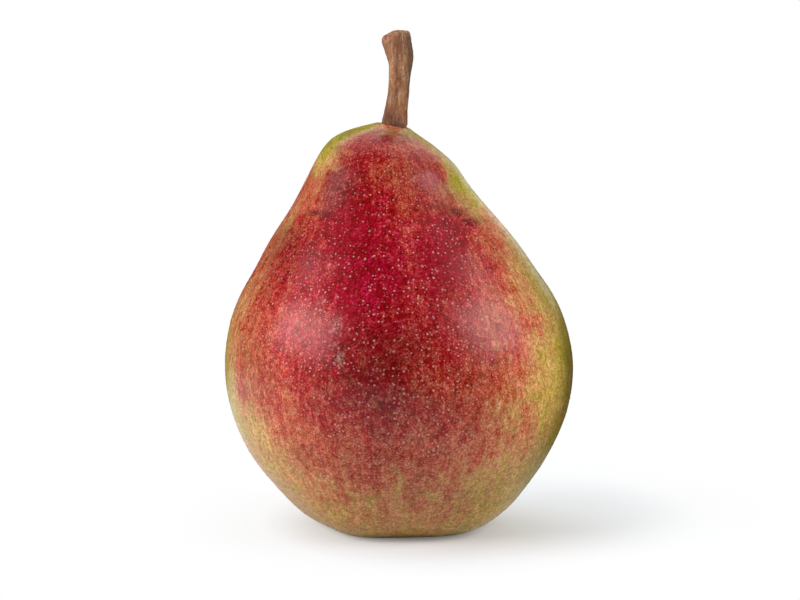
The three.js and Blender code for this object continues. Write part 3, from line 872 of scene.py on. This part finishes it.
def dried_calyx(material):
    """The withered flower at the foot of the fruit: a dished cup, five curled sepals and a tuft of
    dead stamens. It is shaped in millimetres and brought to metres at the end."""
    sizes = {
        "Sepals": 5,
        "Stamens": 19,
        "Cup radius": CUP_RADIUS,
        "Cup top": CUP_TOP,
        "Shrivel": 0.42,
        "Wrinkle": 0.22,
    }
    tree, given = geometry_tree("dried_calyx", sizes)
    sepal = blade(tree, *SEPAL, thickness=0.3, segments=16, rings=18)
    stamen = blade(tree, *STAMEN, thickness=1.0, segments=6, rings=9)
    sepals = whorl(tree, sepal, given["Sepals"], first=0.3, jitter=0.22, seed=3)
    stamens = whorl(tree, stamen, given["Stamens"], first=0.0, jitter=0.3, seed=8)

    # The cup's underside is dished and its top is hidden in the flesh.
    ball = add(tree, "GeometryNodeMeshUVSphere", {"Segments": 40, "Rings": 24})
    x, y, z = add(tree, SPLIT, [add(tree, PLACE)]).outputs
    flat = add(tree, BUILD, [x, y])
    reach = add(tree, "ShaderNodeVectorMath.LENGTH", [flat]).outputs["Value"]
    below = add(tree, CURVE, {"Value": reach}, curve=CUP_HEIGHT)
    top = {"Value": z, "To Min": CUP_HEIGHT[-1][1], "To Max": given["Cup top"]}
    above = add(tree, RANGE, top)
    hidden = add(tree, "ShaderNodeMath.GREATER_THAN", [z, 0.0])
    height = add(tree, "ShaderNodeMix", {0: hidden, 2: below, 3: above})
    wide = add(tree, "ShaderNodeVectorMath.SCALE", {0: flat, "Scale": given["Cup radius"]})
    lift = add(tree, BUILD, {"Z": height})
    cup_place = add(tree, "ShaderNodeVectorMath.ADD", [wide, lift])
    cup = add(tree, SHIFT, {"Geometry": ball, "Position": cup_place})

    joined = add(tree, "GeometryNodeJoinGeometry")
    for part in (stamens, sepals, cup):
        tree.links.new(part.outputs[0], joined.inputs[0])
    real = add(tree, "GeometryNodeRealizeInstances", {"Geometry": joined})
    position = add(tree, PLACE)
    for per_mm, name in ((0.55, "Shrivel"), (1.7, "Wrinkle")):
        noise = {"Vector": position, "Scale": per_mm, "Detail": 2}
        offset = drift(tree, noise, given[name])
        real = add(tree, SHIFT, {"Geometry": real, "Offset": offset})
    metres = add(tree, "GeometryNodeTransform", {"Geometry": real, "Scale": (MM, MM, MM)})
    finish_tree(tree, metres, material)
    return grown(bare("calyx_seed"), "dried_calyx", tree, sizes)


# ---------------- the studio

# By the fruit the floor is white paint, and the camera sees its shadows. Away from their middle,
# which is right of the fruit, a white glow that only the camera sees takes over: how far off it has
# done so, its share on the way as a grey, and the share by which distances along each axis count.
# Even by the fruit a share of the glow is laid over the paint, which lightens the shadows the camera
# sees and sets how far they reach.
SHADOW_MIDDLE = (0.018, 0.012, 0)
SHADOW_SHAPE = (1, 0.75, 1)
SWEEP_AT = 0.07
SWEEP_SHARES = [
    (0.17, "#6e6e6e"), (0.36, "#707070"), (0.47, "#888888"), (0.57, "#bebebe"), (0.69, "#efefef"),
    (1.0, "#ffffff"),
]

# The white paint lies mostly to the left. Beyond its edge the floor is dark to the light and to
# reflections, though not to the camera, which keeps the right rim of the fruit dark.
PAINT_MIDDLE = (-0.24, -0.12, 0)
PAINT_EDGE = {"From Min": 0.285, "From Max": 0.34}
PAINT, DARK_FLOOR = "#f3f6f9", "#202020"


def studio_floor():
    """A plain pale floor: matt white paint by the fruit, which runs into a camera-only white glow."""
    bpy.ops.mesh.primitive_circle_add(vertices=96, radius=30, fill_type="NGON")
    floor = bpy.context.object
    floor.name = "floor"
    material, tree = new_material("floor_white_paint")
    place = add(tree, "ShaderNodeTexCoord").outputs["Object"]
    away = add(tree, "ShaderNodeVectorMath.SUBTRACT", [place, SHADOW_MIDDLE])
    shaped = add(tree, "ShaderNodeVectorMath.MULTIPLY", [away, SHADOW_SHAPE])
    off = add(tree, "ShaderNodeVectorMath.LENGTH", [shaped]).outputs["Value"]
    share = add(tree, "ShaderNodeMath.DIVIDE", [off, SWEEP_AT])
    sweep = add(tree, RAMP, [share], stops=SWEEP_SHARES)
    seen = add(tree, "ShaderNodeLightPath").outputs["Is Camera Ray"]
    lit = add(tree, "ShaderNodeMath.MULTIPLY", [sweep, seen])
    off = add(tree, "ShaderNodeVectorMath.DISTANCE", [place, PAINT_MIDDLE]).outputs["Value"]
    beyond = add(tree, RANGE, {"Value": off, **PAINT_EDGE})
    hidden = add(tree, "ShaderNodeMath.SUBTRACT", [1, seen])
    dark = add(tree, "ShaderNodeMath.MULTIPLY", [beyond, hidden])
    tint = coated(tree, linear(PAINT), [(dark, DARK_FLOOR, "MIX")])
    paint = add(tree, "ShaderNodeBsdfDiffuse", {"Color": tint})
    glow = add(tree, "ShaderNodeEmission", {"Strength": 1.0})
    shader = add(tree, "ShaderNodeMixShader", [lit, paint, glow])
    add(tree, "ShaderNodeOutputMaterial", [shader])
    floor.data.materials.append(material)


# The softboxes: bearing from the camera's side (degrees, to the right), elevation, distance, width
# and height, and radiance. The two side boxes leave the front of the fruit dark between their
# shines, the top box leans in from behind, and the rim box gives the right shoulder a pale edge.
SOFTBOXES = [
    ("left_box", -67, 24, 0.60, 0.52, 0.31, 6.3),
    ("right_box", 72, 28, 0.60, 0.42, 0.36, 5.6),
    ("top_box", 180, 68, 0.80, 1.20, 0.90, 1.5),
    ("rim_box", 156, 15, 0.70, 0.22, 0.26, 1.15),
]
LIGHTS_AIM = (0, 0, 0.045)  # the fruit's middle

# How the strength of the surround falls from the camera's side to behind the fruit.
SURROUND = {"From Min": -0.4, "From Max": 0.8, "To Min": 0.045, "To Max": 0.03}


def softbox(name, bearing, elevation, distance, width, height, radiance):
    """A rectangular light aimed at the fruit's middle."""
    aim = Vector(LIGHTS_AIM)
    turn, rise = math.radians(bearing), math.radians(elevation)
    away = Vector((math.sin(turn) * math.cos(rise), -math.cos(turn) * math.cos(rise), math.sin(rise)))
    data = bpy.data.lights.new(name, "AREA")
    data.shape = "RECTANGLE"
    data.size = width
    data.size_y = height
    data.energy = radiance * math.pi * width * height
    lamp = bpy.data.objects.new(name, data)
    lamp.location = aim + away * distance
    lamp.rotation_euler = (-away).to_track_quat("-Z", "Y").to_euler()
    lamp.visible_camera = False
    bpy.context.scene.collection.objects.link(lamp)


def studio():
    """Soft light, with a dim grey surround that the camera sees as plain white."""
    for box in SOFTBOXES:
        softbox(*box)
    world = bpy.data.worlds.new("studio")
    bpy.context.scene.world = world
    world.use_nodes = True
    tree = world.node_tree
    tree.nodes.clear()
    seen = add(tree, "ShaderNodeLightPath").outputs["Is Camera Ray"]
    way = add(tree, "ShaderNodeTexCoord").outputs["Generated"]
    depth = {"Value": add(tree, SPLIT, [way]).outputs["Y"], **SURROUND}
    level = add(tree, RANGE, depth, interpolation_type="SMOOTHSTEP")
    surround = add(tree, "ShaderNodeBackground", [linear("#ffffff"), level])
    white = add(tree, "ShaderNodeBackground", [linear("#ffffff"), 1.0])
    mixed = add(tree, "ShaderNodeMixShader", [seen, surround, white])
    add(tree, "ShaderNodeOutputWorld", [mixed])
    bpy.context.scene.view_settings.view_transform = "Standard"


LENS, SENSOR = 131.5, 36  # millimetres
EYE, EYE_AIM = (0.0001, -0.620, 0.120), (0.0001, 0, 0.049)


def camera():
    """The camera, a little above the fruit's shoulder and looking slightly down."""
    data = bpy.data.cameras.new("camera")
    data.lens = LENS
    data.sensor_width = SENSOR
    eye = bpy.data.objects.new("camera", data)
    eye.location = EYE
    eye.rotation_euler = (Vector(EYE_AIM) - eye.location).to_track_quat("-Z", "Y").to_euler()
    bpy.context.scene.collection.objects.link(eye)
    bpy.context.scene.camera = eye


# ---------------- the whole pear

SKIN = skin_material()
BARK = stem_material()
camera()
studio()
studio_floor()
fruit = fruit_skin(SKIN)
dots = lenticels(fruit, SKIN)
deliver(fruit, "fruit")
deliver(dots, "fruit")
deliver(stem_wood(BARK), "stem")
deliver(dried_calyx(calyx_material()), "calyx")
for cage in ("fruit_cage", "stem_cage", "calyx_seed"):
    bpy.data.objects.remove(bpy.data.objects[cage])
